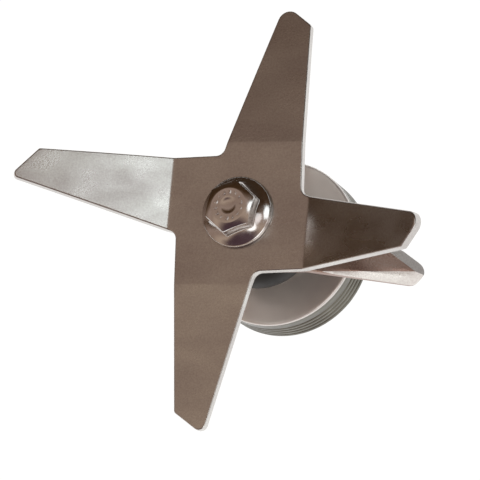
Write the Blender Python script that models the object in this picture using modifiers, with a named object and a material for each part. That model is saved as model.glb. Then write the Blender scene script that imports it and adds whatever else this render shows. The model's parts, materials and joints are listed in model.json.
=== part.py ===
"""Blade assembly of a kitchen blender jar, modelled as it comes apart on a bench.

Frame: metres, +Z up along the shaft. The origin is on the shaft's axis, in the plane of the housing's
underside, where the housing is clamped in the floor of a jar.
"""
import math

import bmesh
import bpy
from mathutils import Matrix, Vector

MM = 0.001

# Driving dimensions
GAP = 0.1 * MM                  # clearance between touching or running pieces
FINE = 40                       # segments of the large turned pieces
COARSE = 20                     # segments of the small turned pieces
MERGE = 0.01 * MM

SHEET = 1.6 * MM                # thickness of both blades
BLADE_TOP = 26.0 * MM           # height of the upper blade's top face
BEND_AT = 12.4 * MM             # distance of every bend line on a top face from the axis
BEND_RADIUS = 2.4 * MM
UPPER_BENDS = (26.2, -5.7, 26.2, -5.7)   # degrees, arm by arm from +X, up is positive
LOWER_BEND = -31.0

SHAFT_R = 4.0 * MM
SHOULDER_R = 5.0 * MM
SHOULDER_TOP = 8.4 * MM
FLAT_HALF = 3.4 * MM            # half the width across the blade seat's flats
SHAFT_TOP = 25.7 * MM
SHAFT_END = -21.0 * MM

THREAD_R = 2.5 * MM             # the M5 bolt
BOLT_LENGTH = 14.0 * MM
HEX_ACROSS = 8.0 * MM
HEX_TURN = -39.7                # degrees
FLANGE_R = 6.25 * MM

HOUSING_R = 14.6 * MM
HOUSING_TOP = 7.6 * MM
HOUSING_FLOOR = 5.5 * MM        # underside of the top wall, above the seal
NECK_R = 9.35 * MM
NECK_END = -11.4 * MM
BORE_R = 8.1 * MM
TOP_HOLE_R = 5.6 * MM

BEARING_R = 8.0 * MM            # an 8 x 16 x 5 mm ball bearing
BEARING_BORE = 4.1 * MM
BEARING_WIDTH = 5.0 * MM
BALL_CIRCLE = 6.0 * MM
BALL_R = 1.0 * MM
BALLS = 7
UPPER_BEARING = -0.3 * MM       # height of its middle
LOWER_BEARING = -6.5 * MM


# Colours: base colour, metallic, roughness
FINISHES = {
    "blade_steel": ((0.40, 0.35, 0.31), 1.0, 0.35),
    "bolt_steel": ((0.62, 0.58, 0.54), 1.0, 0.15),
    "housing_steel": ((0.45, 0.42, 0.39), 1.0, 0.32),
    "turned_steel": ((0.50, 0.49, 0.47), 1.0, 0.30),
    "bearing_steel": ((0.60, 0.60, 0.60), 1.0, 0.18),
    "spring_steel": ((0.25, 0.24, 0.23), 1.0, 0.40),
    "cage_brass": ((0.68, 0.52, 0.26), 1.0, 0.35),
    "seal_rubber": ((0.03, 0.03, 0.03), 0.0, 0.60),
    "gasket_rubber": ((0.75, 0.74, 0.70), 0.0, 0.55),
    "nut_nylon": ((0.06, 0.06, 0.065), 0.0, 0.50),
}


def clear_scene():
    for obj in list(bpy.data.objects):
        bpy.data.objects.remove(obj, do_unlink=True)


def new_collection(name):
    collection = bpy.data.collections.new(name)
    bpy.context.scene.collection.children.link(collection)
    return collection


def new_material(name):
    colour, metallic, roughness = FINISHES[name]
    material = bpy.data.materials.new(name)
    material.use_nodes = True
    shader = material.node_tree.nodes["Principled BSDF"]
    shader.inputs["Base Color"].default_value = (*colour, 1.0)
    shader.inputs["Metallic"].default_value = metallic
    shader.inputs["Roughness"].default_value = roughness
    material.diffuse_color = (*colour, 1.0)
    return material


def new_empty(name, parent=None):
    empty = bpy.data.objects.new(name, None)
    empty.empty_display_size = 5.0 * MM
    PARTS.objects.link(empty)
    empty.parent = parent
    return empty


def place(obj, finish, parent):
    """Give a piece its material and its parent, and shade its round faces smooth."""
    material = bpy.data.materials.get(finish) or new_material(finish)
    obj.data.materials.clear()
    obj.data.materials.append(material)
    obj.parent = parent
    obj.data.shade_smooth()
    obj.data.set_sharp_from_angle(angle=math.radians(32.0))
    return obj


def link(name, mesh, collection):
    obj = bpy.data.objects.new(name, mesh)
    collection.objects.link(obj)
    return obj


def as_cutter(obj):
    obj.hide_render = True
    obj.display_type = "WIRE"
    return obj


def cut(obj, cutter, operation="DIFFERENCE"):
    boolean = obj.modifiers.new(cutter.name, "BOOLEAN")
    boolean.operation = operation
    boolean.solver = "EXACT"
    boolean.object = cutter


def turned(name, profile, segments, collection=None):
    """Screw a profile round Z. Its (radius, height) points run down the outer side."""
    mesh = bpy.data.meshes.new(name)
    ring = [(r, 0.0, z) for r, z in profile]
    closed = profile[0][0] > MERGE or profile[-1][0] > MERGE
    edges = [(i, i + 1) for i in range(len(ring) - 1)]
    if closed:
        edges.append((len(ring) - 1, 0))
    mesh.from_pydata(ring, edges, [])
    obj = link(name, mesh, collection or PARTS)
    screw = obj.modifiers.new("turn", "SCREW")
    screw.axis = "Z"
    screw.steps = segments
    screw.render_steps = segments
    screw.use_merge_vertices = True
    screw.merge_threshold = MERGE
    return obj


def box_cutter(name, size, centre, turn=0.0):
    bm = bmesh.new()
    bmesh.ops.create_cube(bm, size=1.0, matrix=Matrix.Diagonal((*size, 1.0)))
    mesh = bpy.data.meshes.new(name)
    bm.to_mesh(mesh)
    bm.free()
    obj = link(name, mesh, CUTTERS)
    obj.location = centre
    obj.rotation_euler.z = turn
    return as_cutter(obj)


def ball_mesh(name, radius):
    bm = bmesh.new()
    bmesh.ops.create_uvsphere(bm, u_segments=10, v_segments=6, radius=radius)
    mesh = bpy.data.meshes.new(name)
    bm.to_mesh(mesh)
    bm.free()
    mesh.shade_smooth()
    return mesh


def arc(centre_r, centre_z, radius, start, end, steps):
    """Points of an arc in a profile, from one angle to another in degrees."""
    angles = [math.radians(start + (end - start) * i / steps) for i in range(steps + 1)]
    return [(centre_r + radius * math.cos(a), centre_z + radius * math.sin(a)) for a in angles]


# Blades: an outline in the flat, extruded, pierced, ground and then bent

def rounded(corners, steps=3):
    """An outline whose corners (x, y, radius) are replaced by arcs."""
    points = []
    count = len(corners)
    for i, (x, y, radius) in enumerate(corners):
        here = Vector((x, y))
        back = Vector(corners[i - 1][:2]) - here
        ahead = Vector(corners[(i + 1) % count][:2]) - here
        back.normalize()
        ahead.normalize()
        half = back.angle(ahead) / 2
        reach = radius / math.tan(half)
        centre = here + (back + ahead).normalized() * (radius / math.sin(half))
        first = here + back * reach - centre
        sweep = (here + ahead * reach - centre).angle_signed(first)
        for k in range(steps + 1):
            turn = Matrix.Rotation(sweep * k / steps, 2)
            points.append(centre + turn @ first)
    return points


def turned_corner(corner, quarter_turns):
    x, y, radius = corner
    for _ in range(quarter_turns):
        x, y = -y, x
    return (x * MM, y * MM, radius * MM)


def upper_outline():
    """Four arms, from +X round. The corners of one are its short tip, its long tip and the root after it."""
    arms = (
        ((36.0, -9.15, 0.7), (40.7, -3.9, 2.0), (11.04, 3.21, 1.6)),
        ((33.8, -9.20, 0.7), (37.9, -3.9, 2.0), (10.23, 3.81, 1.6)),
        ((36.0, -9.15, 0.7), (40.7, -3.9, 0.9), (11.04, 3.21, 1.6)),
        ((34.1, -9.20, 0.7), (37.9, -3.9, 1.2), (10.23, 3.81, 1.6)),
    )
    return [turned_corner(c, i) for i, arm in enumerate(arms) for c in arm]


def lower_outline():
    """Two arms: the straight edge's end, the tip, the short side, the root and the hub."""
    arm = ((30.8, -9.65, 1.8), (33.1, -6.6, 1.8), (28.5, -3.9, 1.0), (12.3, 2.0, 1.5), (3.0, 9.6, 1.5))
    return [turned_corner(c, 2 * i) for i in range(2) for c in arm]


def plate(name, corners, top):
    """A flat plate whose outline is a filled 2D curve, turned into a mesh so that it can be cut."""
    curve = bpy.data.curves.new(name, "CURVE")
    curve.dimensions = "2D"
    curve.fill_mode = "BOTH"
    curve.extrude = SHEET / 2
    points = rounded(corners)
    spline = curve.splines.new("POLY")
    spline.points.add(len(points) - 1)
    for spot, point in zip(spline.points, points):
        spot.co = (point.x, point.y, 0.0, 1.0)
    spline.use_cyclic_u = True
    guide = link(name + "_outline", curve, CUTTERS)
    guide.location.z = top - SHEET / 2
    bpy.context.view_layer.update()
    depsgraph = bpy.context.evaluated_depsgraph_get()
    mesh = bpy.data.meshes.new_from_object(guide.evaluated_get(depsgraph))
    mesh.transform(guide.matrix_world)
    bpy.data.objects.remove(guide, do_unlink=True)
    weld(mesh)
    return link(name, mesh, PARTS)


def weld(mesh):
    bm = bmesh.new()
    bm.from_mesh(mesh)
    bmesh.ops.remove_doubles(bm, verts=bm.verts, dist=MERGE)
    bmesh.ops.recalc_face_normals(bm, faces=bm.faces)
    bm.to_mesh(mesh)
    bm.free()


def apply_modifiers(obj):
    bpy.context.view_layer.update()
    depsgraph = bpy.context.evaluated_depsgraph_get()
    mesh = bpy.data.meshes.new_from_object(obj.evaluated_get(depsgraph))
    obj.modifiers.clear()
    obj.data = mesh
    weld(mesh)


def pierce_for_shaft(blade, top):
    """A double-D hole, so that the blade can't turn on the shaft."""
    r = SHAFT_R + GAP
    height = 4 * SHEET
    punch = turned(
        blade.name + "_punch",
        [(0.0, top + height), (r, top + height), (r, top - height), (0.0, top - height)],
        COARSE,
        CUTTERS,
    )
    for side in (-1, 1):
        centre = (0.0, side * (FLAT_HALF + GAP + r), top)
        flat = box_cutter(f"{blade.name}_flat_{side}", (4 * r, 2 * r, 4 * height), centre)
        cut(punch, flat)
    cut(blade, as_cutter(punch))


def grind(blade, edge_start, edge_end, inner, name):
    """Grind a slope on the top face through three points, leaving what is below their plane."""
    along = (Vector(edge_end) - Vector(edge_start)).normalized()
    up = along.cross(Vector(inner) - Vector(edge_start)).normalized()
    if up.z < 0:
        up.negate()
    across = up.cross(along)
    depth = 6 * MM
    stone = box_cutter(name, (44 * MM, 14 * MM, depth), (0, 0, 0))
    turn = Matrix((along, across, up)).transposed().to_4x4()
    middle = (Vector(edge_start) + Vector(edge_end)) / 2 + up * depth / 2
    stone.matrix_world = Matrix.Translation(middle) @ turn
    cut(blade, stone)


def bend(blade, direction, degrees, neutral):
    """Bend an arm about a line across it, keeping the length of its middle layer."""
    angle = math.radians(degrees)
    sign = 1 if angle > 0 else -1
    out = Vector((math.cos(direction), math.sin(direction), 0.0))
    arc_length = BEND_RADIUS * abs(angle)
    middle_bend = BEND_AT + SHEET / 2 * math.tan(angle / 2)
    start = middle_bend - BEND_RADIUS * math.tan(abs(angle) / 2)
    bm = bmesh.new()
    bm.from_mesh(blade.data)
    steps = 4
    for k in range(steps + 1):
        line = out * (start + arc_length * k / steps)
        geometry = bm.verts[:] + bm.edges[:] + bm.faces[:]
        bmesh.ops.bisect_plane(bm, geom=geometry, dist=MERGE / 10, plane_co=line, plane_no=out)
    for vert in bm.verts:
        u = vert.co.dot(out)
        if u <= start:
            continue
        turn = min(u - start, arc_length) / BEND_RADIUS
        rest = max(u - start - arc_length, 0.0)
        offset = vert.co.z - neutral
        radius = BEND_RADIUS - sign * offset
        new_u = start + radius * math.sin(turn) + rest * math.cos(turn)
        rise = BEND_RADIUS - radius * math.cos(turn) + rest * math.sin(turn)
        vert.co += out * (new_u - u)
        vert.co.z = neutral + sign * rise
    bm.to_mesh(blade.data)
    bm.free()


def make_upper_blade(parent):
    blade = plate("upper_blade", upper_outline(), BLADE_TOP)
    pierce_for_shaft(blade, BLADE_TOP)
    apply_modifiers(blade)
    for i, degrees in enumerate(UPPER_BENDS):
        bend(blade, i * math.pi / 2, degrees, BLADE_TOP - SHEET / 2)
    place(blade, "blade_steel", parent)


def make_lower_blade(parent):
    top = BLADE_TOP - SHEET - GAP
    blade = plate("lower_blade", lower_outline(), top)
    pierce_for_shaft(blade, top)
    deep = top - 0.95 * MM
    for side in (-1, 1):
        edge = ((side * 13.0 * MM, -side * 9.65 * MM, top), (side * 30.8 * MM, -side * 9.65 * MM, deep))
        grind(blade, *edge, (side * 30.8 * MM, -side * 7.3 * MM, top), f"edge_stone_{side}")
        tip = ((side * 33.1 * MM, -side * 6.6 * MM, deep), (side * 28.5 * MM, -side * 3.9 * MM, deep))
        grind(blade, *tip, (side * 27.3 * MM, -side * 5.4 * MM, top), f"tip_stone_{side}")
    apply_modifiers(blade)
    for direction in (0.0, math.pi):
        bend(blade, direction, LOWER_BEND, top - SHEET / 2)
    place(blade, "blade_steel", parent)


# Turned pieces on the shaft

def make_bolt(parent):
    seat = BLADE_TOP + GAP
    rim = seat + 1.0 * MM
    hex_top = seat + 4.8 * MM
    cone_r = 4.1 * MM
    cone_top = seat + 1.75 * MM
    profile = [(0.0, cone_top), (cone_r, cone_top)]
    profile += arc(FLANGE_R - 0.5 * MM, rim - 0.5 * MM, 0.5 * MM, 70, 0, 3)
    profile += [(FLANGE_R, seat + 0.2 * MM), (FLANGE_R - 0.2 * MM, seat), (THREAD_R, seat)]
    profile += [(THREAD_R, seat - BOLT_LENGTH + 0.5 * MM), (THREAD_R - 0.5 * MM, seat - BOLT_LENGTH)]
    profile.append((0.0, seat - BOLT_LENGTH))
    bolt = turned("blade_bolt", profile, 36)
    corner_r = HEX_ACROSS / 2 / math.cos(math.pi / 6)
    head = hexagon("bolt_hex", corner_r, seat + 0.5 * MM, hex_top, HEX_TURN)
    flat_r = HEX_ACROSS / 2 - 0.25 * MM
    drop = (corner_r + 1.0 * MM - flat_r) * math.tan(math.radians(30))
    dome = [(0.0, hex_top), (flat_r, hex_top), (corner_r + 1.0 * MM, hex_top - drop)]
    dome += [(corner_r + 1.0 * MM, seat), (0.0, seat)]
    cut(head, as_cutter(turned("bolt_chamfer", dome, 36, CUTTERS)), "INTERSECT")
    cut(bolt, head, "UNION")
    place(bolt, "bolt_steel", parent)


def hexagon(name, radius, bottom, top, turn):
    bm = bmesh.new()
    bmesh.ops.create_cone(
        bm, cap_ends=True, segments=6, radius1=radius, radius2=radius, depth=top - bottom
    )
    mesh = bpy.data.meshes.new(name)
    bm.to_mesh(mesh)
    bm.free()
    obj = link(name, mesh, CUTTERS)
    obj.location.z = (top + bottom) / 2
    obj.rotation_euler.z = math.radians(turn)
    return as_cutter(obj)


def make_shaft(parent):
    hole_r = THREAD_R + GAP
    hole_end = BLADE_TOP - BOLT_LENGTH - 0.3 * MM
    chamfer = 0.5 * MM
    groove = LOWER_BEARING - BEARING_WIDTH / 2 - GAP
    profile = [(0.0, hole_end - 1.0 * MM), (hole_r, hole_end), (hole_r, SHAFT_TOP)]
    profile += [(SHAFT_R - 0.2 * MM, SHAFT_TOP), (SHAFT_R, SHAFT_TOP - 0.2 * MM)]
    profile += [(SHAFT_R, SHOULDER_TOP), (SHOULDER_R, SHOULDER_TOP)]
    shoulder_end = UPPER_BEARING + BEARING_WIDTH / 2 + GAP
    profile += [(SHOULDER_R, shoulder_end), (SHAFT_R, shoulder_end)]
    profile += [(SHAFT_R, groove), (3.5 * MM, groove), (3.5 * MM, groove - 1.0 * MM)]
    profile += [(SHAFT_R, groove - 1.0 * MM), (SHAFT_R, SHAFT_END + chamfer)]
    profile += [(SHAFT_R - chamfer, SHAFT_END), (0.0, SHAFT_END)]
    shaft = turned("drive_shaft", profile, COARSE)
    seat = BLADE_TOP - 2 * SHEET - 2 * GAP
    for side in (-1, 1):
        centre = (0.0, side * (FLAT_HALF + 2 * MM), seat + 5 * MM)
        cut(shaft, box_cutter(f"seat_flat_{side}", (12 * MM, 4 * MM, 10 * MM), centre))
    splines = 8
    spline_top = -12.5 * MM
    for i in range(splines):
        angle = 2 * math.pi * (i + 0.5) / splines
        reach = SHAFT_R + 0.25 * MM
        centre = (reach * math.cos(angle), reach * math.sin(angle), spline_top - 5 * MM)
        cut(shaft, box_cutter(f"spline_groove_{i}", (1.7 * MM, 1.3 * MM, 10 * MM), centre, angle))
    place(shaft, "turned_steel", parent)


def make_sleeve(name, inner, outer, low, high, finish, parent):
    """A plain ring: a spacer, washer, shield or gasket."""
    profile = [(inner, high), (outer, high), (outer, low), (inner, low)]
    place(turned(name, profile, COARSE), finish, parent)


def make_slinger(parent):
    """An umbrella of dark rubber that throws liquid clear of the seal."""
    high = 17.4 * MM
    profile = [(4.1 * MM, high), (6.4 * MM, high)]
    profile += arc(6.4 * MM, 14.0 * MM, 3.4 * MM, 78, 0, 4)
    profile += [(9.8 * MM, 13.5 * MM), (9.1 * MM, 13.5 * MM), (8.9 * MM, 14.6 * MM), (4.1 * MM, 14.6 * MM)]
    place(turned("slinger_cap", profile, 32), "seal_rubber", parent)


def make_shaft_stack(parent):
    r = SHAFT_R + GAP
    make_sleeve("slinger_washer", r, 7.0 * MM, 8.5 * MM, 9.3 * MM, "turned_steel", parent)
    make_sleeve("lower_blade_spacer", r, 6.2 * MM, 9.4 * MM, 14.5 * MM, "turned_steel", parent)
    make_slinger(parent)
    make_sleeve("upper_blade_spacer", r, 6.4 * MM, 17.5 * MM, 22.6 * MM, "turned_steel", parent)
    low = LOWER_BEARING + BEARING_WIDTH / 2 + GAP
    high = UPPER_BEARING - BEARING_WIDTH / 2 - GAP
    make_sleeve("inner_spacer_sleeve", r, 5.1 * MM, low, high, "turned_steel", parent)
    groove = LOWER_BEARING - BEARING_WIDTH / 2 - GAP
    make_circlip("shaft_circlip", 3.6 * MM, 5.0 * MM, groove - 0.9 * MM, groove - 0.1 * MM, 0.0, parent)


def make_circlip(name, inner, outer, low, high, turn, parent):
    """A spring ring with one gap."""
    profile = [(inner, high), (outer, high), (outer, low), (inner, low)]
    ring = turned(name, profile, COARSE)
    middle = (inner + outer) / 2
    centre = (middle * math.cos(turn), middle * math.sin(turn), (low + high) / 2)
    size = (4 * (outer - inner), 2.2 * MM, 4 * (high - low))
    cut(ring, box_cutter(name + "_gap", size, centre, turn))
    place(ring, "spring_steel", parent)


# Bearings

def race_groove(r, height, inward):
    """The ball groove of a race, met at radius r. An outer race is cut from the inside."""
    groove_r = BALL_R + 0.15 * MM
    half = math.degrees(math.acos(abs(r - BALL_CIRCLE) / groove_r))
    if inward:
        return arc(BALL_CIRCLE, height, groove_r, -half, half, 4)
    return arc(BALL_CIRCLE, height, groove_r, 180 - half, 180 + half, 4)


def make_bearing(level, height, moving, fixed, cage_body):
    top = height + BEARING_WIDTH / 2
    bottom = height - BEARING_WIDTH / 2
    outer_r = 6.75 * MM
    inner_r = 5.25 * MM
    bevel = 0.3 * MM
    outer = [(outer_r, top), (BEARING_R - bevel, top), (BEARING_R, top - bevel)]
    outer += [(BEARING_R, bottom + bevel), (BEARING_R - bevel, bottom), (outer_r, bottom)]
    outer += race_groove(outer_r, height, True)
    race = turned(f"{level}_bearing_outer_race", outer, COARSE)
    place(race, "bearing_steel", fixed)
    inner = [(BEARING_BORE, top), (inner_r, top)]
    inner += race_groove(inner_r, height, False)
    inner += [(inner_r, bottom), (BEARING_BORE, bottom)]
    race = turned(f"{level}_bearing_inner_race", inner, COARSE)
    place(race, "bearing_steel", moving)
    for side, offset in (("top", 1.9 * MM), ("bottom", -2.2 * MM)):
        low = height + offset
        name = f"{level}_bearing_{side}_shield"
        make_sleeve(name, 5.45 * MM, 6.62 * MM, low, low + 0.3 * MM, "bearing_steel", fixed)
    make_cage(level, height, cage_body)


def make_cage(level, height, parent):
    """A crown cage with a pocket for each ball, and the balls, which orbit with it."""
    low = height - 1.5 * MM
    high = height - 0.2 * MM
    profile = [(5.6 * MM, high), (6.4 * MM, high), (6.4 * MM, low), (5.6 * MM, low)]
    cage = turned(f"{level}_bearing_cage", profile, 28)
    shared = ball_mesh("bearing_ball", BALL_R)
    pocket = ball_mesh("ball_pocket", BALL_R + 0.15 * MM)
    for i in range(BALLS):
        angle = 2 * math.pi * i / BALLS
        spot = (BALL_CIRCLE * math.cos(angle), BALL_CIRCLE * math.sin(angle), height)
        cutter = link(f"{level}_pocket_{i + 1}", pocket, CUTTERS)
        cutter.location = spot
        cutter.rotation_euler.z = angle
        cut(cage, as_cutter(cutter))
        ball = link(f"{level}_bearing_ball_{i + 1}", shared, PARTS)
        ball.location = spot
        ball.rotation_euler.z = angle
        place(ball, "bearing_steel", parent)
    place(cage, "cage_brass", parent)


# Pieces that stay still in the jar

def make_housing(parent):
    rim = 0.55 * MM
    corner = HOUSING_R - rim
    profile = [(TOP_HOLE_R, HOUSING_TOP)]
    profile += arc(corner, HOUSING_TOP - rim, rim, 90, 0, 4)
    for i in range(4):
        z = 4.8 * MM - i * 1.2 * MM
        profile += [(HOUSING_R, z + 0.3 * MM), (HOUSING_R - 0.3 * MM, z), (HOUSING_R, z - 0.3 * MM)]
    profile += [(HOUSING_R, 0.4 * MM), (HOUSING_R - 0.4 * MM, 0.0), (NECK_R, 0.0)]
    pitch = 1.8 * MM
    for i in range(4):
        z = -3.4 * MM - i * pitch
        root = NECK_R - 0.45 * MM
        profile += [(NECK_R, z + 0.3 * pitch), (root, z), (NECK_R, z - 0.3 * pitch)]
    clip = LOWER_BEARING - BEARING_WIDTH / 2 - 0.8 * MM
    bevel = 0.4 * MM
    profile += [(NECK_R, NECK_END + bevel), (NECK_R - bevel, NECK_END), (BORE_R, NECK_END)]
    profile += [(BORE_R, clip - 0.9 * MM), (BORE_R + 0.5 * MM, clip - 0.9 * MM)]
    profile += [(BORE_R + 0.5 * MM, clip), (BORE_R, clip), (BORE_R, HOUSING_FLOOR)]
    profile.append((TOP_HOLE_R, HOUSING_FLOOR))
    place(turned("bearing_housing", profile, FINE), "housing_steel", parent)


def make_seal(parent):
    """A lip seal: a U section whose inner leg ends in a lip on the shaft's shoulder."""
    high = HOUSING_FLOOR - GAP
    profile = [(6.1 * MM, high), (8.0 * MM, high), (8.0 * MM, 2.4 * MM), (7.3 * MM, 2.4 * MM)]
    profile += [(7.3 * MM, 4.5 * MM), (6.5 * MM, 4.5 * MM), (6.2 * MM, 3.8 * MM), (6.2 * MM, 2.6 * MM)]
    profile += [(5.7 * MM, 2.5 * MM), (5.1 * MM, 3.2 * MM), (5.4 * MM, 4.4 * MM)]
    place(turned("shaft_seal", profile, COARSE), "seal_rubber", parent)
    wire_r = 0.28 * MM
    ring = arc(6.6 * MM, 3.2 * MM, wire_r, 180, -120, 5)
    place(turned("seal_garter_spring", ring, COARSE), "spring_steel", parent)


def make_wave_washer(parent):
    """A thin washer that rises and falls three times round its circle and loads the bearings."""
    high = LOWER_BEARING - BEARING_WIDTH / 2 - GAP
    thick = 0.25 * MM
    wave = 0.15 * MM
    profile = [(6.9 * MM, 0.0), (7.9 * MM, 0.0), (7.9 * MM, -thick), (6.9 * MM, -thick)]
    washer = turned("wave_washer", profile, COARSE)
    apply_modifiers(washer)
    for vert in washer.data.vertices:
        angle = math.atan2(vert.co.y, vert.co.x)
        vert.co.z += high - wave * (1 - math.cos(3 * angle))
    place(washer, "spring_steel", parent)


def make_ring_nut(parent):
    high = -3.6 * MM
    low = -7.1 * MM
    inner = NECK_R + GAP
    outer = 11.1 * MM
    bevel = 0.3 * MM
    profile = [(inner, high), (outer - bevel, high), (outer, high - bevel)]
    profile += [(outer, low + bevel), (outer - bevel, low), (inner, low)]
    nut = turned("ring_nut", profile, FINE)
    for i in range(6):
        angle = math.pi * i / 3
        centre = (outer * math.cos(angle), outer * math.sin(angle), low)
        cut(nut, box_cutter(f"nut_notch_{i}", (1.6 * MM, 2.4 * MM, 3.2 * MM), centre, angle))
    place(nut, "nut_nylon", parent)


def make_fixed_stack(parent):
    make_seal(parent)
    low = LOWER_BEARING + BEARING_WIDTH / 2 + GAP
    high = UPPER_BEARING - BEARING_WIDTH / 2 - GAP
    make_sleeve("outer_spacer_ring", 6.9 * MM, 8.0 * MM, low, high, "turned_steel", parent)
    make_wave_washer(parent)
    clip = LOWER_BEARING - BEARING_WIDTH / 2 - 0.8 * MM
    make_circlip("housing_circlip", 6.9 * MM, 8.5 * MM, clip - 0.8 * MM, clip - 0.1 * MM, 2.4, parent)
    low = -1.3 * MM
    make_sleeve("jar_gasket", 9.6 * MM, 13.3 * MM, low, -GAP, "gasket_rubber", parent)
    make_ring_nut(parent)


clear_scene()
PARTS = new_collection("blender_blade_assembly")
CUTTERS = new_collection("cutters")

housing_body = new_empty("housing")
rotor_body = new_empty("rotor", housing_body)
upper_cage_body = new_empty("upper_balls", housing_body)
lower_cage_body = new_empty("lower_balls", housing_body)

make_housing(housing_body)
make_fixed_stack(housing_body)
make_bearing("upper", UPPER_BEARING, rotor_body, housing_body, upper_cage_body)
make_bearing("lower", LOWER_BEARING, rotor_body, housing_body, lower_cage_body)
make_shaft(rotor_body)
make_shaft_stack(rotor_body)
make_lower_blade(rotor_body)
make_upper_blade(rotor_body)
make_bolt(rotor_body)
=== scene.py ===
"""Looks of the blender jar blade assembly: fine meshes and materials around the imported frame."""
import json
import math

import bmesh
import bpy
from mathutils import Matrix, Vector


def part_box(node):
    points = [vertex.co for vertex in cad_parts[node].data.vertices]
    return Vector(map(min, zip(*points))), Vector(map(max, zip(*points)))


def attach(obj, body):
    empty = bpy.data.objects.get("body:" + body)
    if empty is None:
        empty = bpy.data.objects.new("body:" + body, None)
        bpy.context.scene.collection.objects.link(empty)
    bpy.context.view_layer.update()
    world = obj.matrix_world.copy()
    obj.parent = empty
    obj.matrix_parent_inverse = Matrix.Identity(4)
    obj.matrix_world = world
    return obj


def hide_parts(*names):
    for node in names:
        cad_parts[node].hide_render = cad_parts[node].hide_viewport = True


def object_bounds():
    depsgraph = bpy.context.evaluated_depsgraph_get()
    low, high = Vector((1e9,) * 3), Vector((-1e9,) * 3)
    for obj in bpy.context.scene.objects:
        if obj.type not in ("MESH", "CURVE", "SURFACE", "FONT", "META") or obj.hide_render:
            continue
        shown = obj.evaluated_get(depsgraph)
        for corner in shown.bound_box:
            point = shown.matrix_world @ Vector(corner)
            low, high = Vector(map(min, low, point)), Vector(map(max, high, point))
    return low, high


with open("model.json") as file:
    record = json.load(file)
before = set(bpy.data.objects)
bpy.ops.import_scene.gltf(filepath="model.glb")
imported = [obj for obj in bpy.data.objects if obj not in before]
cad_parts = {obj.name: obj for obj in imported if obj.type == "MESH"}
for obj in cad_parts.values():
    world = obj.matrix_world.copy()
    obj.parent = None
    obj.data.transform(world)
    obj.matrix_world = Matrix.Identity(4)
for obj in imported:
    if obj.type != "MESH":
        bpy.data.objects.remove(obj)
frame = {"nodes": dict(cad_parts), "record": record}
cad_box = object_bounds()

MM = 0.001
TAU = 2 * math.pi

# Sizes, the same as the part's where it has them
GAP = 0.1 * MM                  # clearance between neighbours that don't press on each other
SHEET = 1.6 * MM                # thickness of both blades
EDGE = 0.26 * MM                # rounding of the blades' tumbled edges
BEND_AT = 12.4 * MM             # distance of every bend line on a top face from the axis
BEND_RADIUS = 2.4 * MM
BEND_STEP = 3                   # degrees between the lines that a bend is divided by
UPPER_BENDS = (26.2, -5.7, 26.2, -5.7)   # degrees, arm by arm from +X
UPPER_CURLS = (0.0, 0.5, -1.2, 0.0)      # how each arm curls further towards its tip, per metre
LOWER_BEND = -31.0
GRID = 1.5 * MM                 # spacing of the lines that a blade is divided by
GRID_SHIFT = 0.37               # and where they start, in spacings, clear of the outline's corners
FLAT_HALF = 3.4 * MM            # half the width across the blade seat's flats
SHAFT_R = 4.0 * MM
THREAD_R = 2.5 * MM
FLANGE_R = 6.25 * MM
HEX_ACROSS = 8.0 * MM
HEX_TURN = math.radians(-39.7)
HOUSING_R = 14.6 * MM
NECK_R = 9.35 * MM

# Heights, worked up and down from the frame's boxes
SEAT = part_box("upper_blade_spacer")[1].z           # the lower blade rests on this
LOWER_TOP = SEAT + GAP + SHEET
UPPER_TOP = LOWER_TOP + GAP + SHEET
BOLT_SEAT = UPPER_TOP + GAP
BOLT_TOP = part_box("blade_bolt")[1].z
BOLT_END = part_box("blade_bolt")[0].z
HOUSING_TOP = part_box("bearing_housing")[1].z
NECK_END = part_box("bearing_housing")[0].z
FLOOR = cad_box[0].z

# The values that most of a noise lies between
NOISE_LOW = 0.3
NOISE_HIGH = 0.7


# Geometry helpers

def new_piece(name, mesh, material, body, *nodes, slot):
    """A visible piece that rides on a body, stands for some CAD nodes and takes a material; the slot
    argument is not used.
    """
    obj = bpy.data.objects.new(name, mesh)
    bpy.context.scene.collection.objects.link(obj)
    mesh.materials.append(material)
    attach(obj, body)
    if nodes:
        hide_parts(*nodes)
    return obj


def finish_mesh(bm, name, sharp=34.0):
    """The mesh made so far, smooth but for edges sharper than an angle in degrees."""
    bmesh.ops.recalc_face_normals(bm, faces=bm.faces)
    mesh = bpy.data.meshes.new(name)
    bm.to_mesh(mesh)
    bm.free()
    mesh.shade_smooth()
    mesh.set_sharp_from_angle(angle=math.radians(sharp))
    return mesh


def arc(centre_r, centre_z, radius, start, end, steps):
    """Points of an arc in a profile, from one angle to another in degrees."""
    angles = [math.radians(start + (end - start) * i / steps) for i in range(steps + 1)]
    return [(centre_r + radius * math.cos(a), centre_z + radius * math.sin(a)) for a in angles]


def loft(rings, segments, turn=0.0, closed=False):
    """Quads between rings round Z. A ring is (radius, height), or a function of the angle to them."""
    bm = bmesh.new()
    rows = []
    for ring in rings:
        row = []
        for i in range(segments):
            angle = turn + TAU * i / segments
            r, z = ring(angle) if callable(ring) else ring
            if r < 1e-7:
                row = [row[0] if row else bm.verts.new((0.0, 0.0, z))] * segments
                break
            row.append(bm.verts.new((r * math.cos(angle), r * math.sin(angle), z)))
        rows.append(row)
    pairs = list(zip(rows, rows[1:]))
    if closed:
        pairs.append((rows[-1], rows[0]))
    for upper, lower in pairs:
        for i in range(segments):
            j = (i + 1) % segments
            corners = [upper[i], lower[i], lower[j], upper[j]]
            corners = [v for k, v in enumerate(corners) if v is not corners[k - 1]]
            if len(corners) > 2:
                bm.faces.new(corners)
    return bm


def lathe(name, profile, segments=128):
    """A closed profile turned round Z."""
    return finish_mesh(loft(profile, segments, closed=True), name)


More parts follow.
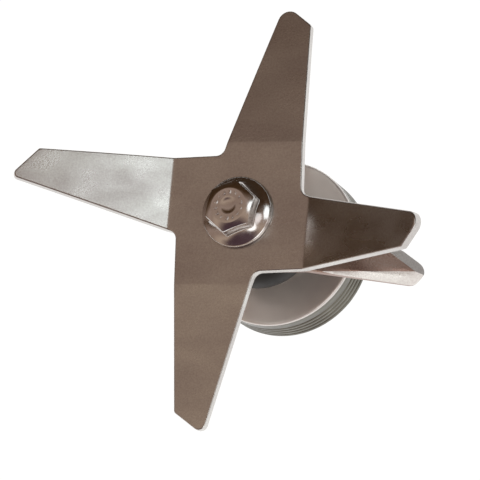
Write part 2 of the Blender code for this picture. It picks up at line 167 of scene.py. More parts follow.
def soft_ring(inner, outer, low, high, soften=0.15 * MM):
    """The profile of a plain ring with its edges broken."""
    points = arc(outer - soften, high - soften, soften, 90, 0, 3)
    points += arc(outer - soften, low + soften, soften, 0, -90, 3)
    points += arc(inner + soften, low + soften, soften, 270, 180, 3)
    points += arc(inner + soften, high - soften, soften, 180, 90, 3)
    return points


# Blades

def rounded(corners, steps=8):
    """An outline whose corners (x, y, radius) are replaced by arcs."""
    points = []
    count = len(corners)
    for i, (x, y, radius) in enumerate(corners):
        here = Vector((x, y))
        back = (Vector(corners[i - 1][:2]) - here).normalized()
        ahead = (Vector(corners[(i + 1) % count][:2]) - here).normalized()
        half = back.angle(ahead) / 2
        reach = radius / math.tan(half)
        centre = here + (back + ahead).normalized() * (radius / math.sin(half))
        first = here + back * reach - centre
        sweep = (here + ahead * reach - centre).angle_signed(first)
        for k in range(steps + 1):
            points.append(centre + Matrix.Rotation(sweep * k / steps, 2) @ first)
    return points


def turned_corner(corner, quarter_turns):
    """A corner in millimetres, turned round the axis, in metres."""
    x, y, radius = corner
    for _ in range(quarter_turns):
        x, y = -y, x
    return (x * MM, y * MM, radius * MM)


def upper_outline():
    """Four arms, from +X round. Each has a short tip, a long tip and the root after it."""
    arms = (
        ((36.0, -9.15, 0.7), (40.7, -3.9, 2.0), (11.04, 3.21, 1.6)),
        ((33.8, -9.20, 0.7), (37.9, -3.9, 2.0), (10.23, 3.81, 1.6)),
        ((36.0, -9.15, 0.7), (40.7, -3.9, 0.9), (11.04, 3.21, 1.6)),
        ((34.1, -9.20, 0.7), (37.9, -3.9, 1.2), (10.23, 3.81, 1.6)),
    )
    return [turned_corner(c, i) for i, arm in enumerate(arms) for c in arm]


def lower_outline():
    """Two arms: the straight edge's end, the tip, the short side, the root and the hub."""
    arm = (
        (30.8, -9.65, 1.8), (33.1, -6.6, 1.8), (28.5, -3.9, 1.0),
        (12.3, 2.0, 1.5), (3.0, 9.6, 1.5),
    )
    return [turned_corner(c, 2 * i) for i in range(2) for c in arm]


def double_d():
    """The hole for the shaft: a circle with two flats."""
    r = SHAFT_R + GAP
    half = FLAT_HALF + GAP
    count = 64
    points = []
    for i in range(count):
        angle = TAU * i / count
        y = max(-half, min(half, r * math.sin(angle)))
        points.append(Vector((r * math.cos(angle), y)))
    return points


def split_at_middle(outline):
    """The outline's points above and below y = 0, each list with both of the points on that line."""
    upper, lower = [], []
    for here, after in zip(outline, outline[1:] + outline[:1]):
        (upper if here.y > 0 else lower).append(here)
        if here.y * after.y < 0:
            crossing = here.lerp(after, here.y / (here.y - after.y))
            upper.append(crossing)
            lower.append(crossing)
    return upper, lower


def plate(outline, top):
    """A flat plate with the shaft's hole, made of two broad faces a side, its edges rounded."""
    nearly_square = 1.2             # radians; a rim edge turns by more than this

    def from_middle(point):
        """Least at the crossing of the middle line that lies towards +X."""
        return abs(point.y) - point.x / 1e3

    upper, lower = split_at_middle(outline)
    turn = lower.index(min(lower, key=from_middle)) + 1
    lower = lower[turn:] + lower[:turn]
    turn = upper.index(min(upper, key=from_middle))
    upper = upper[turn:] + upper[:turn]
    hole = double_d()
    half = len(hole) // 2
    bm = bmesh.new()
    corners = {}

    def corner(point):
        key = (round(point.x, 7), round(point.y, 7))
        if key not in corners:
            corners[key] = bm.verts.new((point.x, point.y, top - SHEET))
        return corners[key]

    bm.faces.new([corner(p) for p in upper + hole[half::-1]])
    bm.faces.new([corner(p) for p in lower + hole[:1] + hole[:half - 1:-1]])
    raised = bmesh.ops.extrude_face_region(bm, geom=bm.faces[:])
    lifted = [item for item in raised["geom"] if isinstance(item, bmesh.types.BMVert)]
    bmesh.ops.translate(bm, verts=lifted, vec=(0, 0, SHEET))
    bmesh.ops.recalc_face_normals(bm, faces=bm.faces)
    folds = [e for e in bm.edges if len(e.link_faces) == 2 and e.calc_face_angle() > nearly_square]
    rims = [e for e in folds if abs(e.verts[0].co.z - e.verts[1].co.z) < 1e-6]
    bmesh.ops.bevel(bm, geom=rims, offset=EDGE, segments=5, profile=0.5, affect="EDGES")
    return bm


def divide(bm, direction, places):
    """Cut the mesh across a direction, at each distance along it."""
    for place in places:
        everything = bm.verts[:] + bm.edges[:] + bm.faces[:]
        bmesh.ops.bisect_plane(
            bm, geom=everything, dist=1e-6, plane_co=direction * place, plane_no=direction
        )


def divide_evenly(bm, reach):
    """Cross lines over the whole plate, so that it can be bent."""
    for direction in (Vector((1, 0, 0)), Vector((0, 1, 0))):
        count = int(reach / GRID)
        divide(bm, direction, [(i + GRID_SHIFT) * GRID for i in range(-count, count)])


def bend(bm, direction, degrees, middle, curl):
    """Bend an arm about a line across it, then curl it slightly towards its tip."""
    angle = math.radians(degrees)
    sign = 1 if angle > 0 else -1
    out = Vector((math.cos(direction), math.sin(direction), 0.0))
    arc_length = BEND_RADIUS * abs(angle)
    middle_bend = BEND_AT + SHEET / 2 * math.tan(angle / 2)
    start = middle_bend - BEND_RADIUS * math.tan(abs(angle) / 2)
    steps = max(2, round(abs(degrees) / BEND_STEP))
    divide(bm, out, [start + arc_length * k / steps for k in range(steps + 1)])
    for vert in bm.verts:
        u = vert.co.dot(out)
        if u <= start:
            continue
        turn = min(u - start, arc_length) / BEND_RADIUS
        rest = max(u - start - arc_length, 0.0)
        radius = BEND_RADIUS - sign * (vert.co.z - middle)
        new_u = start + radius * math.sin(turn) + rest * math.cos(turn)
        rise = BEND_RADIUS - radius * math.cos(turn) + rest * math.sin(turn)
        rise += curl * rest * rest
        vert.co += out * (new_u - u)
        vert.co.z = middle + sign * rise


def grind(bm, plane_points):
    """Grind the sheet down to a sloping plane, whose new face takes the second material."""
    a, b, c = (Vector(p) for p in plane_points)
    normal = (b - a).cross(c - a).normalized()
    if normal.z < 0:
        normal.negate()
    everything = bm.verts[:] + bm.edges[:] + bm.faces[:]
    cut = bmesh.ops.bisect_plane(
        bm, geom=everything, dist=1e-7, plane_co=a, plane_no=normal, clear_outer=True
    )
    open_edges = [e for e in cut["geom_cut"] if isinstance(e, bmesh.types.BMEdge) and e.is_boundary]
    made = bmesh.ops.contextual_create(bm, geom=open_edges)
    for face in made["faces"]:
        face.material_index = 1


def even_normals(piece):
    """Keep the broad faces flat up to their rounded edges."""
    weighting = piece.modifiers.new("even_normals", "WEIGHTED_NORMAL")
    weighting.keep_sharp = True
    weighting.weight = 90


def make_upper_blade(material):
    reach = 42 * MM
    bm = plate(rounded(upper_outline()), UPPER_TOP)
    divide_evenly(bm, reach)
    for i, degrees in enumerate(UPPER_BENDS):
        bend(bm, i * math.pi / 2, degrees, UPPER_TOP - SHEET / 2, UPPER_CURLS[i])
    mesh = finish_mesh(bm, "upper_blade_sheet", 60)
    piece = new_piece("upper_blade_sheet", mesh, material, "rotor", "upper_blade", slot="blade_steel")
    even_normals(piece)


def make_lower_blade(material, ground):
    """The lower blade, its long edges and tips ground: planes through points (x, y, depth) in mm. Its
    body takes a darker copy of the blade steel, painted shade; the ground faces take the plain steel.
    """
    deep = 0.95
    edge = ((13.0, -9.65, 0), (30.8, -9.65, deep), (30.8, -7.3, 0))
    tip = ((33.1, -6.6, deep), (28.5, -3.9, deep), (27.3, -5.4, 0))
    reach = 34 * MM
    bm = plate(rounded(lower_outline()), LOWER_TOP)
    for side in (-1, 1):
        for plane in (edge, tip):
            grind(bm, [(side * x * MM, side * y * MM, LOWER_TOP - z * MM) for x, y, z in plane])
    divide_evenly(bm, reach)
    for direction in (0.0, math.pi):
        bend(bm, direction, LOWER_BEND, LOWER_TOP - SHEET / 2, 0.0)
    mesh = finish_mesh(bm, "lower_blade_sheet", 24)
    piece = new_piece("lower_blade_sheet", mesh, material, "rotor", "lower_blade", slot="blade_steel")
    piece.data.materials.append(ground)
    even_normals(piece)


# Bolt

def hex_radius(angle):
    """Distance from the axis to the hexagon's side, its corners slightly rounded."""
    sixth = TAU / 6
    off = (angle - HEX_TURN + sixth / 2) % sixth - sixth / 2
    half = HEX_ACROSS / 2
    rounding = 0.05 * MM
    return min(half / math.cos(sixth / 2 - abs(off)), half / math.cos(sixth / 2) - rounding)


def make_bolt(material):
    """Hexagon head on a coned flange with a round rim, and a threaded shank."""
    soft = 0.08 * MM
    flat_r = HEX_ACROSS / 2 - 0.95 * MM
    dish = 0.22 * MM
    dish_r = 1.5 * MM
    dish_steps = 5
    rim_r = 0.75 * MM
    rim_z = BOLT_SEAT + 1.0 * MM
    rim_start = FLANGE_R - rim_r
    cone_degrees = 38
    cone = math.tan(math.radians(cone_degrees))
    slope = math.tan(math.radians(27))
    under_r = 0.2 * MM
    lead = 0.5 * MM

    def chamfer_z(r):
        return BOLT_TOP - (r - flat_r) * slope

    def crest(angle):
        r = hex_radius(angle) - soft
        return r, chamfer_z(r)

    def shoulder(angle):
        r = hex_radius(angle)
        return r, chamfer_z(r) - soft

    def cone_z(r):
        return rim_z + (rim_start - r) * cone

    def foot(angle):
        r = hex_radius(angle)
        return r, cone_z(r) + 2 * soft

    def toe(angle):
        r = hex_radius(angle) + soft
        return r, cone_z(r) + soft / 2

    def apron(angle):
        r = hex_radius(angle) + 2.5 * soft
        return r, cone_z(r)

    rings = [(0.0, BOLT_TOP - dish)]
    for i in range(1, dish_steps + 1):
        rings.append((dish_r * i / dish_steps, BOLT_TOP - dish * (1 - (i / dish_steps) ** 3)))
    rings += [(dish_r + 0.2 * MM, BOLT_TOP), (flat_r - 3 * soft, BOLT_TOP - 0.01 * MM)]
    rings += [(flat_r - soft, BOLT_TOP - 0.03 * MM), (flat_r + soft, chamfer_z(flat_r + soft))]
    rings += [crest, shoulder, foot, toe, apron, (rim_start, rim_z)]
    rings += arc(rim_start, rim_z - rim_r, rim_r, 90 - cone_degrees, 0, 8)
    rings += arc(FLANGE_R - under_r, BOLT_SEAT + under_r, under_r, 0, -90, 6)
    rings += [(THREAD_R, BOLT_SEAT), (THREAD_R, BOLT_END + lead), (THREAD_R - lead, BOLT_END)]
    rings.append((0.0, BOLT_END))
    mesh = finish_mesh(loft(rings, 180, HEX_TURN), "flange_bolt", 26)
    new_piece("flange_bolt", mesh, material, "rotor", "blade_bolt", slot="bolt_steel")


def make_bolt_marks(material):
    """Generic raised dashes round the bolt's head, of three lengths."""
    ring_r = 2.30 * MM
    count = 14
    turn = 0.2
    width = 0.62 * MM
    lengths = (0.62, 0.34, 0.62, 0.48)
    height = 0.42 * MM
    middle = BOLT_TOP + 0.02 * MM
    bm = bmesh.new()
    for i in range(count):
        angle = TAU * i / count + turn
        size = (width, lengths[i % len(lengths)] * MM, height)
        spot = Matrix.Rotation(angle, 4, "Z") @ Matrix.Translation((ring_r, 0, middle))
        made = bmesh.ops.create_cube(bm, size=1.0, matrix=spot @ Matrix.Diagonal((*size, 1.0)))
        edges = {e for v in made["verts"] for e in v.link_edges}
        bmesh.ops.bevel(bm, geom=list(edges), offset=0.11 * MM, segments=3, affect="EDGES")
    mesh = finish_mesh(bm, "bolt_marks", 40)
    new_piece("bolt_marks", mesh, material, "rotor", slot="bolt_steel")


# Housing and the rings

def grooved_wall():
    """The housing's side, downwards: four shallow grooves and a broken lower edge."""
    top_groove = 4.8
    spacing = 1.2
    wide = 0.26 * MM
    narrow = 0.16 * MM
    shallow = 0.06 * MM
    deep = 0.26 * MM
    wall = []
    for i in range(4):
        z = (top_groove - i * spacing) * MM
        wall += [(HOUSING_R, z + wide), (HOUSING_R - shallow, z + narrow), (HOUSING_R - deep, z)]
        wall += [(HOUSING_R - shallow, z - narrow), (HOUSING_R, z - wide)]
    wall += [(HOUSING_R, 0.3 * MM), (HOUSING_R - 0.1 * MM, 0.1 * MM), (HOUSING_R - 0.3 * MM, 0.0)]
    return wall


def threaded_neck():
    """The neck's side, downwards: rings that stand for the ring nut's thread, and a bevelled end."""
    pitch = 1.2 * MM
    root = NECK_R - 0.45 * MM
    bevel = 0.4 * MM
    z = -2.0 * MM
    wall = [(NECK_R, 0.0)]
    while z > NECK_END + pitch:
        wall += [(NECK_R, z), (NECK_R, z - 0.12 * pitch)]
        wall += [(root, z - 0.45 * pitch), (root, z - 0.58 * pitch), (NECK_R, z - 0.9 * pitch)]
        z -= pitch
    wall += [(NECK_R, NECK_END + bevel), (NECK_R - bevel, NECK_END)]
    return wall


def make_housing(material, painted_shade_material):
    """A turned body with a rounded top edge, bored for the bearings and grooved for their circlip. Its
    top and its side take lighter and darker copies of one steel: painted light on the top, painted
    shade on the side.
    """
    rim = 0.55 * MM
    corner = HOUSING_R - rim
    hole = 5.6 * MM
    floor = 5.5 * MM
    bore = 8.1 * MM
    soft = 0.2 * MM
    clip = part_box("housing_circlip")
    low = clip[0].z - GAP
    high = clip[1].z + GAP
    groove = bore + 0.5 * MM
    profile = [(hole, HOUSING_TOP - soft), (hole + soft, HOUSING_TOP)]
    profile += [(hole + 3.4 * MM, HOUSING_TOP), (corner - 0.6 * MM, HOUSING_TOP)]
    profile += arc(corner, HOUSING_TOP - rim, rim, 90, 0, 10)
    profile += grooved_wall() + threaded_neck()
    profile += [(bore + soft, NECK_END), (bore, NECK_END + soft), (bore, low), (groove, low)]
    profile += [(groove, high), (bore, high), (bore, floor), (hole, floor)]
    mesh = lathe("housing_body", profile, 192)
    new_piece("housing_body", mesh, material, "housing", "bearing_housing", slot="housing_steel")
    mesh.materials.append(painted_shade_material)
    # Faces below the top's rounded edge take the darker copy of the steel: painted shade on the side.
    for face in mesh.polygons:
        face.material_index = int(face.center.z < HOUSING_TOP - rim)


def make_slinger(material):
    """A rubber umbrella, domed above and hollow below."""
    low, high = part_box("slinger_cap")
    inner = SHAFT_R + GAP
    outer = 9.8 * MM
    dome = 3.4 * MM
    soft = 0.15 * MM
    ceiling = low.z + 1.1 * MM
    profile = [(inner, high.z), (outer - dome - 0.2 * MM, high.z)]
    profile += arc(outer - dome, high.z - dome, dome, 84, 0, 14)
    profile += arc(outer - soft, low.z + soft, soft, 0, -90, 3)
    profile += [(outer - 0.6 * MM, low.z), (outer - 0.9 * MM, ceiling), (inner, ceiling)]
    mesh = lathe("slinger_umbrella", profile)
    new_piece("slinger_umbrella", mesh, material, "rotor", "slinger_cap", slot="seal_rubber")


def make_plain_rings(steel, rubber):
    """Spacers, washer and gasket: their heights and outer radii are the frame's."""
    inner = SHAFT_R + GAP
    gasket_inner = 9.6 * MM
    for node in ("upper_blade_spacer", "lower_blade_spacer", "slinger_washer"):
        low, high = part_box(node)
        mesh = lathe(node + "_turned", soft_ring(inner, round(high.x, 5), low.z, high.z), 96)
        new_piece(node + "_turned", mesh, steel, "rotor", node, slot="turned_steel")
    low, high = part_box("jar_gasket")
    mesh = lathe("gasket_ring", soft_ring(gasket_inner, high.x, low.z, high.z, 0.3 * MM))
    new_piece("gasket_ring", mesh, rubber, "housing", "jar_gasket", slot="gasket_rubber")


def make_shaft(material):
    """Shoulder, double-D blade seat, tapped hole, circlip groove and a splined drive end."""
    low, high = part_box("drive_shaft")
    soft = 0.15 * MM
    shoulder_r = 5.0 * MM
    shoulder_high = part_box("slinger_washer")[0].z - GAP
    shoulder_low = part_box("upper_bearing_inner_race")[1].z + GAP
    groove_r = 3.5 * MM
    groove_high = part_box("shaft_circlip")[1].z + GAP
    groove_low = groove_high - 1.0 * MM
    hole_r = THREAD_R + GAP
    hole_end = BOLT_END - 0.3 * MM
    drill_point = 1.0 * MM
    splines = 8
    spline_root = 3.4 * MM
    spline_gap = 1.3 * MM
    spline_top = -12.5 * MM
    chamfer = 0.5 * MM

    def flatted(r, z):
        """A ring of the double-D seat; the floor of 0.1 only guards the division."""
        return lambda angle: (min(r, FLAT_HALF / max(abs(math.sin(angle)), 0.1)), z)

    def splined(r, z):
        def ring(angle):
            off = angle % (TAU / splines) - TAU / splines / 2
            cut = abs(SHAFT_R * math.sin(off)) < spline_gap / 2
            return (min(r, spline_root) if cut else r), z
        return ring

    rings = [(0.0, hole_end - drill_point), (hole_r, hole_end), (hole_r, high.z - soft)]
    rings += [(hole_r + soft, high.z), flatted(SHAFT_R - soft, high.z), flatted(SHAFT_R, high.z - soft)]
    rings += [flatted(SHAFT_R, SEAT), (SHAFT_R, SEAT - GAP / 10), (SHAFT_R, shoulder_high)]
    rings += [(shoulder_r - soft, shoulder_high), (shoulder_r, shoulder_high - soft)]
    rings += [(shoulder_r, shoulder_low + soft), (shoulder_r - soft, shoulder_low)]
    rings += [(SHAFT_R, shoulder_low), (SHAFT_R, groove_high), (groove_r, groove_high)]
    rings += [(groove_r, groove_low), (SHAFT_R, groove_low), (SHAFT_R, spline_top + soft)]
    rings += [splined(SHAFT_R, spline_top), splined(SHAFT_R, low.z + chamfer)]
    rings += [splined(SHAFT_R - chamfer, low.z), (0.0, low.z)]
    mesh = finish_mesh(loft(rings, 160), "splined_shaft")
    new_piece("splined_shaft", mesh, material, "rotor", "drive_shaft", slot="turned_steel")


def make_ring_nut(material):
    """A flat moulded nut with six spanner notches in its lower rim."""
    low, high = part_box("ring_nut")
    outer = round(high.x, 5)
    inner = NECK_R + GAP
    soft = 0.3 * MM
    notches = 6
    notch_width = 2.4 * MM
    notch_r = outer - 0.8 * MM
    notch_top = low.z + 1.6 * MM

    def notched(r, z):
        def ring(angle):
            share = TAU / notches
            off = (angle + share / 2) % share - share / 2
            cut = abs(outer * math.sin(off)) < notch_width / 2
            return (min(r, notch_r) if cut else r), z
        return ring

    rings = [(inner, high.z - soft), (inner + soft, high.z), (outer - soft, high.z)]
    rings += arc(outer - soft, high.z - soft, soft, 70, 0, 4)
    rings += [(outer, notch_top + soft / 4), notched(outer, notch_top), notched(outer, low.z + soft)]
    rings += [notched(outer - soft, low.z), (inner + soft, low.z), (inner, low.z + soft)]
    mesh = finish_mesh(loft(rings, 240, closed=True), "notched_nut")
    new_piece("notched_nut", mesh, material, "housing", "ring_nut", slot="nut_nylon")


# Materials

class Nodes:
    """Short words for building a material's node tree."""

    def __init__(self, name):
        self.material = bpy.data.materials.new(name)
        self.material.use_nodes = True
        self.tree = self.material.node_tree
        self.shader = self.tree.nodes["Principled BSDF"]
        self.place = self.add("ShaderNodeTexCoord").outputs["Object"]

    def add(self, kind, **settings):
        node = self.tree.nodes.new(kind)
        for key, value in settings.items():
            setattr(node, key, value)
        return node

    def join(self, source, target):
        self.tree.links.new(source, target)

    def noise(self, scale, detail=3.0, stretch=(1, 1, 1)):
        """Cloudy noise fixed to the piece, finer as the scale grows."""
        stretched = self.add("ShaderNodeMapping")
        stretched.inputs["Scale"].default_value = stretch
        self.join(self.place, stretched.inputs["Vector"])
        cloud = self.add("ShaderNodeTexNoise")
        cloud.inputs["Scale"].default_value = scale
        cloud.inputs["Detail"].default_value = detail
        cloud.inputs["Roughness"].default_value = 0.55
        self.join(stretched.outputs["Vector"], cloud.inputs["Vector"])
        return cloud.outputs["Fac"]

    def radius_noise(self, scale):
        """Noise that changes only with height and the distance from the axis, as on a turned face."""
        split = self.add("ShaderNodeSeparateXYZ")
        self.join(self.place, split.inputs["Vector"])
        flat = self.add("ShaderNodeCombineXYZ")
        self.join(split.outputs["X"], flat.inputs["X"])
        self.join(split.outputs["Y"], flat.inputs["Y"])
        length = self.add("ShaderNodeVectorMath", operation="LENGTH")
        self.join(flat.outputs["Vector"], length.inputs[0])
        line = self.add("ShaderNodeCombineXYZ")
        self.join(length.outputs["Value"], line.inputs["X"])
        self.join(split.outputs["Z"], line.inputs["Y"])
        cloud = self.add("ShaderNodeTexNoise")
        cloud.inputs["Scale"].default_value = scale
        cloud.inputs["Detail"].default_value = 2.0
        self.join(line.outputs["Vector"], cloud.inputs["Vector"])
        return cloud.outputs["Fac"]

    def spread(self, value, low, high):
        """A noise spread evenly from one value to another."""
        scale = self.add("ShaderNodeMapRange")
        scale.inputs["From Min"].default_value = NOISE_LOW
        scale.inputs["From Max"].default_value = NOISE_HIGH
        scale.inputs["To Min"].default_value = low
        scale.inputs["To Max"].default_value = high
        self.join(value, scale.inputs["Value"])
        return scale.outputs["Result"]

    def average(self, first, second):
        total = self.add("ShaderNodeMath", operation="ADD")
        self.join(first, total.inputs[0])
        self.join(second, total.inputs[1])
        half = self.add("ShaderNodeMath", operation="MULTIPLY")
        half.inputs[1].default_value = 0.5
        self.join(total.outputs["Value"], half.inputs[0])
        return half.outputs["Value"]

    def colours(self, value, dark, light, start=NOISE_LOW, end=NOISE_HIGH):
        """A dark colour that goes over into a light one between two values of a noise."""
        ramp = self.add("ShaderNodeValToRGB")
        first, last = ramp.color_ramp.elements
        first.position = start
        first.color = (*dark, 1.0)
        last.position = end
        last.color = (*light, 1.0)
        self.join(value, ramp.inputs["Fac"])
        return ramp.outputs["Color"]

    def bump(self, height, strength, distance, before=None):
        bump = self.add("ShaderNodeBump")
        bump.inputs["Strength"].default_value = strength
        bump.inputs["Distance"].default_value = distance
        self.join(height, bump.inputs["Height"])
        if before:
            self.join(before, bump.inputs["Normal"])
        return bump.outputs["Normal"]

    def set(self, **values):
        """Set the shader's inputs: a node's output is joined, and anything else is a constant."""
        for name, value in values.items():
            socket = self.shader.inputs[name.replace("_", " ")]
            if hasattr(value, "is_linked"):
                self.join(value, socket)
            else:
                socket.default_value = value
        return self.material


def blade_steel(name, dark, light):
    """Rolled and tumbled sheet: fine speckle over streaky blotches a few millimetres wide."""
    nodes = Nodes(name)
    blotches = nodes.noise(170, 1.5, (0.45, 1, 1))
    speckle = nodes.noise(3600, 2.0)
    colour = nodes.colours(nodes.average(blotches, speckle), dark, light, 0.34, 0.66)
    rough = nodes.spread(nodes.noise(300, 1.0, (0.4, 1, 1)), 0.25, 0.32)
    normal = nodes.bump(nodes.noise(2600, 3.0), 0.55, 0.02 * MM)
    normal = nodes.bump(nodes.noise(110, 1.0), 0.25, 0.1 * MM, normal)
    return nodes.set(Base_Color=colour, Metallic=1.0, Roughness=rough, Normal=normal)


def bolt_steel():
    nodes = Nodes("bolt_steel")
    rough = nodes.spread(nodes.noise(900, 3.0), 0.12, 0.22)
    colour = nodes.colours(nodes.noise(260, 2.0), (0.70, 0.66, 0.64), (0.84, 0.82, 0.80))
    normal = nodes.bump(nodes.noise(900, 2.0), 0.25, 0.02 * MM)
    return nodes.set(Base_Color=colour, Metallic=1.0, Roughness=rough, Normal=normal)


def housing_steel(name, metallic, dark, light):
    """Turned steel: faint rings that follow the lathe tool, and soft blotches."""
    nodes = Nodes(name)
    rings = nodes.radius_noise(5200)
    rough = nodes.spread(nodes.noise(420, 2.0), 0.28, 0.38)
    colour = nodes.colours(nodes.noise(130, 2.0), dark, light)
    normal = nodes.bump(rings, 0.25, 0.02 * MM)
    normal = nodes.bump(nodes.noise(1700, 2.0), 0.12, 0.02 * MM, normal)
    return nodes.set(Base_Color=colour, Metallic=metallic, Roughness=rough, Normal=normal)


def turned_steel():
    nodes = Nodes("turned_steel")
    rough = nodes.spread(nodes.noise(500, 2.0), 0.22, 0.34)
    colour = nodes.colours(nodes.noise(200, 2.0), (0.52, 0.51, 0.49), (0.60, 0.59, 0.57))
    normal = nodes.bump(nodes.radius_noise(6000), 0.3, 0.02 * MM)
    return nodes.set(Base_Color=colour, Metallic=1.0, Roughness=rough, Normal=normal)


def seal_rubber():
    nodes = Nodes("seal_rubber")
    colour = nodes.colours(nodes.noise(300), (0.018, 0.017, 0.016), (0.04, 0.038, 0.035), 0.35)
    rough = nodes.spread(nodes.noise(600, 2.0), 0.45, 0.65)
    normal = nodes.bump(nodes.noise(2500), 0.2, 0.02 * MM)
    return nodes.set(Base_Color=colour, Roughness=rough, Normal=normal)


def gasket_rubber():
    nodes = Nodes("gasket_rubber")
    colour = nodes.colours(nodes.noise(200, 2.0), (0.70, 0.69, 0.65), (0.78, 0.77, 0.73))
    rough = nodes.spread(nodes.noise(500, 2.0), 0.45, 0.6)
    normal = nodes.bump(nodes.noise(2000), 0.15, 0.02 * MM)
    return nodes.set(Base_Color=colour, Roughness=rough, Normal=normal)


def nut_nylon():
    nodes = Nodes("nut_nylon")
    colour = nodes.colours(nodes.noise(400, 2.0), (0.030, 0.031, 0.034), (0.045, 0.046, 0.050))
    rough = nodes.spread(nodes.noise(900, 2.0), 0.38, 0.5)
    normal = nodes.bump(nodes.noise(3000), 0.25, 0.02 * MM)
    return nodes.set(Base_Color=colour, Roughness=rough, Normal=normal)


def plain_metal(name, dark, light, rough_low, rough_high):
    nodes = Nodes(name)
    colour = nodes.colours(nodes.noise(250, 2.0), dark, light)
    rough = nodes.spread(nodes.noise(800, 2.0), rough_low, rough_high)
    return nodes.set(Base_Color=colour, Metallic=1.0, Roughness=rough)


def paint_cad(materials):
    """Give the CAD nodes that still show their fine materials, slot by slot."""
    slots = {s["node"]: s["material_slot"] for s in frame["record"]["subparts"]}
    for name, obj in frame["nodes"].items():
        material = materials[slots[name]]
        if not obj.material_slots:
            obj.data.materials.append(material)
        for slot in obj.material_slots:
            slot.material = material


# Studio

def make_floor():
    """A plain ground that glows, so that it is evenly white whatever the lights do."""
    size = 4.0
    bm = bmesh.new()
    bmesh.ops.create_grid(bm, x_segments=1, y_segments=1, size=size)
    mesh = bpy.data.meshes.new("floor")
    bm.to_mesh(mesh)
    bm.free()
    obj = bpy.data.objects.new("floor", mesh)
    obj.location.z = FLOOR - 0.2 * MM
    bpy.context.scene.collection.objects.link(obj)
    nodes = Nodes("floor_white")
    nodes.set(Base_Color=(0.12, 0.12, 0.12, 1.0), Roughness=0.9)
    nodes.set(Emission_Color=(1.0, 1.0, 1.0, 1.0), Emission_Strength=1.0)
    obj.data.materials.append(nodes.material)


def make_world():
    """A warm dim room with a brighter band overhead, and plain white where the camera sees it."""
    world = bpy.data.worlds.new("studio")
    bpy.context.scene.world = world
    world.use_nodes = True
    tree = world.node_tree
    tree.nodes.clear()

    def add(kind, **settings):
        node = tree.nodes.new(kind)
        for key, value in settings.items():
            setattr(node, key, value)
        return node

    place = add("ShaderNodeTexCoord")
    facing = add("ShaderNodeVectorMath", operation="DOT_PRODUCT")
    facing.inputs[1].default_value = Vector((-0.1, -0.6, 0.79)).normalized()
    tree.links.new(place.outputs["Generated"], facing.inputs[0])
    ramp = add("ShaderNodeValToRGB")
    stops = (
        (0.35, (0.040, 0.024, 0.014)),
        (0.58, (0.045, 0.021, 0.007)),
        (0.67, (0.140, 0.092, 0.064)),
        (0.73, (0.330, 0.245, 0.205)),
        (0.80, (0.270, 0.192, 0.153)),
        (0.87, (0.420, 0.320, 0.250)),
        (0.90, (0.420, 0.320, 0.250)),
        (0.96, (0.070, 0.040, 0.048)),
    )
    elements = ramp.color_ramp.elements
    while len(elements) < len(stops):
        elements.new(0.5)
    for element, (position, colour) in zip(elements, stops):
        element.position = position
        element.color = (*colour, 1.0)
    scale = add("ShaderNodeMapRange")
    scale.inputs["From Min"].default_value = -1.0
    scale.inputs["From Max"].default_value = 1.0
    tree.links.new(facing.outputs["Value"], scale.inputs["Value"])
    tree.links.new(scale.outputs["Result"], ramp.inputs["Fac"])
    room = add("ShaderNodeBackground")
    tree.links.new(ramp.outputs["Color"], room.inputs["Color"])
    plain = add("ShaderNodeBackground")
    plain.inputs["Color"].default_value = (1, 1, 1, 1)
    seen = add("ShaderNodeLightPath")
    mix = add("ShaderNodeMixShader")
    tree.links.new(seen.outputs["Is Camera Ray"], mix.inputs["Fac"])
    tree.links.new(room.outputs["Background"], mix.inputs[1])
    tree.links.new(plain.outputs["Background"], mix.inputs[2])
    out = add("ShaderNodeOutputWorld")
    tree.links.new(mix.outputs["Shader"], out.inputs["Surface"])


def add_softbox(name, direction, distance, size, radiance, colour):
    """A round light that faces the blades from some way off in a direction."""
    light = bpy.data.lights.new(name, "AREA")
    light.shape = "DISK"
    light.size = size
    light.color = colour
    area = math.pi * (size / 2) ** 2
    light.energy = radiance * math.pi * area
    obj = bpy.data.objects.new(name, light)
    bpy.context.scene.collection.objects.link(obj)
    back = Vector(direction).normalized()
    obj.location = Vector((0, 0, UPPER_TOP)) + back * distance
    obj.rotation_mode = "QUATERNION"
    obj.rotation_quaternion = (-back).to_track_quat("-Z", "Y")


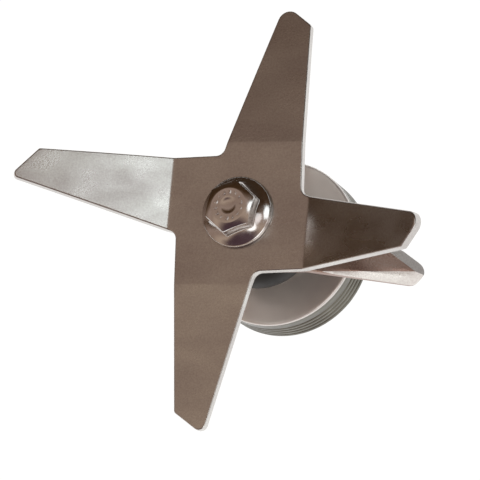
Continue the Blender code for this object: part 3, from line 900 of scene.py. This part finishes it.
def make_camera():
    """A long lens that looks down on the blades at a slant, and a plain view of its colours."""
    tilt = math.radians(26.08)
    towards = math.radians(141.82)
    roll = math.radians(-144.15)
    offset = Vector((0.33, -4.55, 1105.6)) * MM     # across, up and back from the blades' middle
    turned = Matrix.Rotation(towards, 3, "Z") @ Matrix.Rotation(tilt, 3, "Y")
    orientation = (turned @ Matrix.Rotation(roll, 3, "Z")).transposed()
    data = bpy.data.cameras.new("camera")
    data.sensor_width = 36.0
    data.lens = 492.4
    data.clip_start = 0.05
    camera = bpy.data.objects.new("camera", data)
    bpy.context.scene.collection.objects.link(camera)
    place = Vector((0, 0, UPPER_TOP)) + orientation @ offset
    camera.matrix_world = Matrix.Translation(place) @ orientation.to_4x4()
    bpy.context.scene.camera = camera
    bpy.context.scene.view_settings.view_transform = "Standard"


materials = {
    "blade_steel": blade_steel("blade_steel", (0.53, 0.495, 0.48), (0.71, 0.70, 0.665)),
    "bolt_steel": bolt_steel(),
    # The housing's top: a much lighter copy of the steel than its side, painted light.
    "housing_steel": housing_steel("housing_steel", 0.45, (0.84, 0.80, 0.77), (0.95, 0.91, 0.87)),
    "turned_steel": turned_steel(),
    "bearing_steel": plain_metal("bearing_steel", (0.62, 0.62, 0.61), (0.72, 0.72, 0.71), 0.12, 0.22),
    "spring_steel": plain_metal("spring_steel", (0.16, 0.15, 0.14), (0.26, 0.25, 0.24), 0.30, 0.45),
    "cage_brass": plain_metal("cage_brass", (0.62, 0.44, 0.18), (0.74, 0.56, 0.28), 0.25, 0.40),
    "seal_rubber": seal_rubber(),
    "gasket_rubber": gasket_rubber(),
    "nut_nylon": nut_nylon(),
}
paint_cad(materials)
make_upper_blade(materials["blade_steel"])
# A darker, browner copy of the blade steel for the lower blade's body: painted shade from the upper
# blade above it.
painted_shade_steel = blade_steel("painted_shade_steel", (0.31, 0.19, 0.15), (0.40, 0.31, 0.27))
make_lower_blade(painted_shade_steel, materials["blade_steel"])
make_bolt(materials["bolt_steel"])
make_bolt_marks(materials["bolt_steel"])
# The housing's side: a much darker copy of the same steel, painted shade.
painted_shade_side_steel = housing_steel("painted_shade_side_steel", 1.0, (0.12, 0.11, 0.09), (0.18, 0.17, 0.14))
make_housing(materials["housing_steel"], painted_shade_side_steel)
make_slinger(materials["seal_rubber"])
make_plain_rings(materials["turned_steel"], materials["gasket_rubber"])
make_shaft(materials["turned_steel"])
make_ring_nut(materials["nut_nylon"])
make_floor()
make_world()
add_softbox("key", (0.50, 0.22, 0.84), 0.4, 0.17, 1.5, (0.88, 1.0, 1.04))
add_softbox("side", (0.80, -0.10, 0.59), 0.4, 0.16, 0.9, (0.95, 0.97, 1.0))
add_softbox("front", (0.64, -0.60, 0.46), 0.4, 0.26, 1.3, (0.95, 1.0, 1.02))
make_camera()
